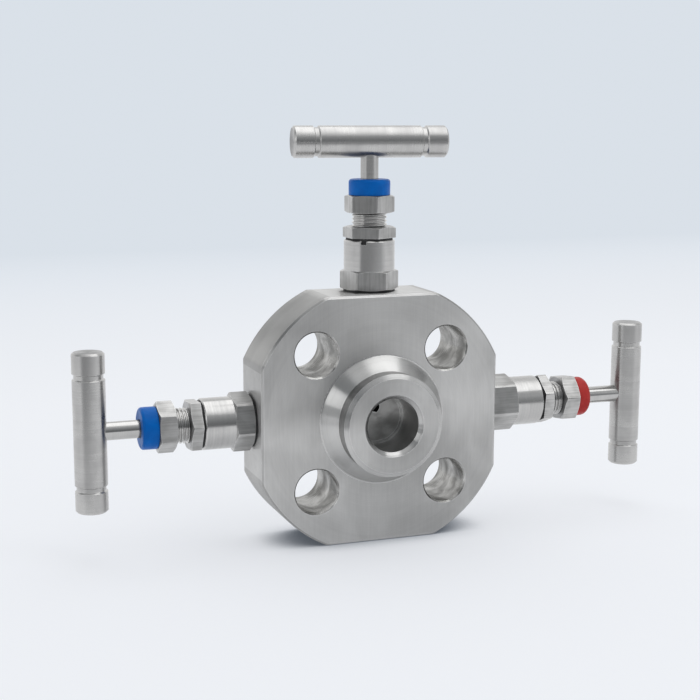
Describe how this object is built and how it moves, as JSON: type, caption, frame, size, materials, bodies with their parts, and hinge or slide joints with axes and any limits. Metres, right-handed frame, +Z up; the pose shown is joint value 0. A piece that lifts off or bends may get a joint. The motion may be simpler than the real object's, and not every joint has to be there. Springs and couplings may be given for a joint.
{
  "type": "monoflange valve",
  "caption": "Thick round flange valve block with blue-capped block valves and a red-capped vent valve screwed into its rim, each turned by a T-bar.",
  "frame": {"origin": "centre of the raised sealing face on the process side", "axes": "+X from the inlet valve to the vent valve, +Y out of the raised face toward the process, +Z up through the instrument valve; the hub faces -Y and the bottom flat faces -Z"},
  "size_m": [0.2624, 0.0446, 0.1763],
  "materials": {
    "block_steel": "turned and brushed stainless steel",
    "bonnet_steel": "turned stainless steel",
    "lock_nut_steel": "machined stainless steel",
    "gland_steel": "machined stainless steel",
    "washer_steel": "machined stainless steel",
    "stem_steel": "polished stainless steel",
    "needle_steel": "ground hard steel",
    "bar_steel": "fine turned stainless steel",
    "grub_steel": "dark hardened steel",
    "seal_rubber": "black sealing rubber",
    "dust_rubber": "black sealing rubber",
    "packing_white": "smooth white packing",
    "cap_blue": "satin blue plastic",
    "cap_red": "satin red plastic"
  },
  "bodies": {
    "valve_block": {"flange_body": "block_steel", "inlet_bonnet": "bonnet_steel", "inlet_seal_ring": "seal_rubber", "inlet_dust_ring": "dust_rubber", "inlet_lock_nut": "lock_nut_steel", "inlet_gland": "gland_steel", "inlet_packing_washer": "washer_steel", "inlet_packing_rings": "packing_white", "inlet_follower": "washer_steel", "inlet_cap": "cap_blue", "instrument_bonnet": "bonnet_steel", "instrument_seal_ring": "seal_rubber", "instrument_dust_ring": "dust_rubber", "instrument_lock_nut": "lock_nut_steel", "instrument_gland": "gland_steel", "instrument_packing_washer": "washer_steel", "instrument_packing_rings": "packing_white", "instrument_follower": "washer_steel", "instrument_cap": "cap_blue", "vent_bonnet": "bonnet_steel", "vent_seal_ring": "seal_rubber", "vent_dust_ring": "dust_rubber", "vent_lock_nut": "lock_nut_steel", "vent_gland": "gland_steel", "vent_packing_washer": "washer_steel", "vent_packing_rings": "packing_white", "vent_follower": "washer_steel", "vent_cap": "cap_red"},
    "inlet_needle_group": {"inlet_needle": "needle_steel"},
    "inlet_handle_group": {"inlet_stem": "stem_steel", "inlet_t_bar": "bar_steel", "inlet_grub_screw": "grub_steel"},
    "instrument_needle_group": {"instrument_needle": "needle_steel"},
    "instrument_handle_group": {"instrument_stem": "stem_steel", "instrument_t_bar": "bar_steel", "instrument_grub_screw": "grub_steel"},
    "vent_needle_group": {"vent_needle": "needle_steel"},
    "vent_handle_group": {"vent_stem": "stem_steel", "vent_t_bar": "bar_steel", "vent_grub_screw": "grub_steel"}
  },
  "joints": [
    {"name": "inlet_lift", "type": "slide", "parent": "valve_block", "child": "inlet_needle_group", "axis": [-1, 0, 0], "range_m": [-0.00471, 0.00281]},
    {"name": "inlet_turn", "type": "hinge", "parent": "inlet_needle_group", "child": "inlet_handle_group", "pos_m": [-0.1211, -0.0136, 0], "axis": [-1, 0, 0], "range_deg": [-1128, 672]},
    {"name": "instrument_lift", "type": "slide", "parent": "valve_block", "child": "instrument_needle_group", "axis": [0, 0, 1], "range_m": [0, 0.00751]},
    {"name": "instrument_turn", "type": "hinge", "parent": "instrument_needle_group", "child": "instrument_handle_group", "pos_m": [0, -0.0136, 0.1164], "axis": [0, 0, 1], "range_deg": [0, 1800]},
    {"name": "vent_lift", "type": "slide", "parent": "valve_block", "child": "vent_needle_group", "axis": [1, 0, 0], "range_m": [-0.00641, 0.00111]},
    {"name": "vent_turn", "type": "hinge", "parent": "vent_needle_group", "child": "vent_handle_group", "pos_m": [0.1278, -0.0136, 0], "axis": [1, 0, 0], "range_deg": [-1536, 264]}
  ],
  "couplings": [
    {"joint": "inlet_lift", "follows": "inlet_turn", "m_per_rad": 0.00023873},
    {"joint": "instrument_lift", "follows": "instrument_turn", "m_per_rad": 0.00023873},
    {"joint": "vent_lift", "follows": "vent_turn", "m_per_rad": 0.00023873}
  ]
}
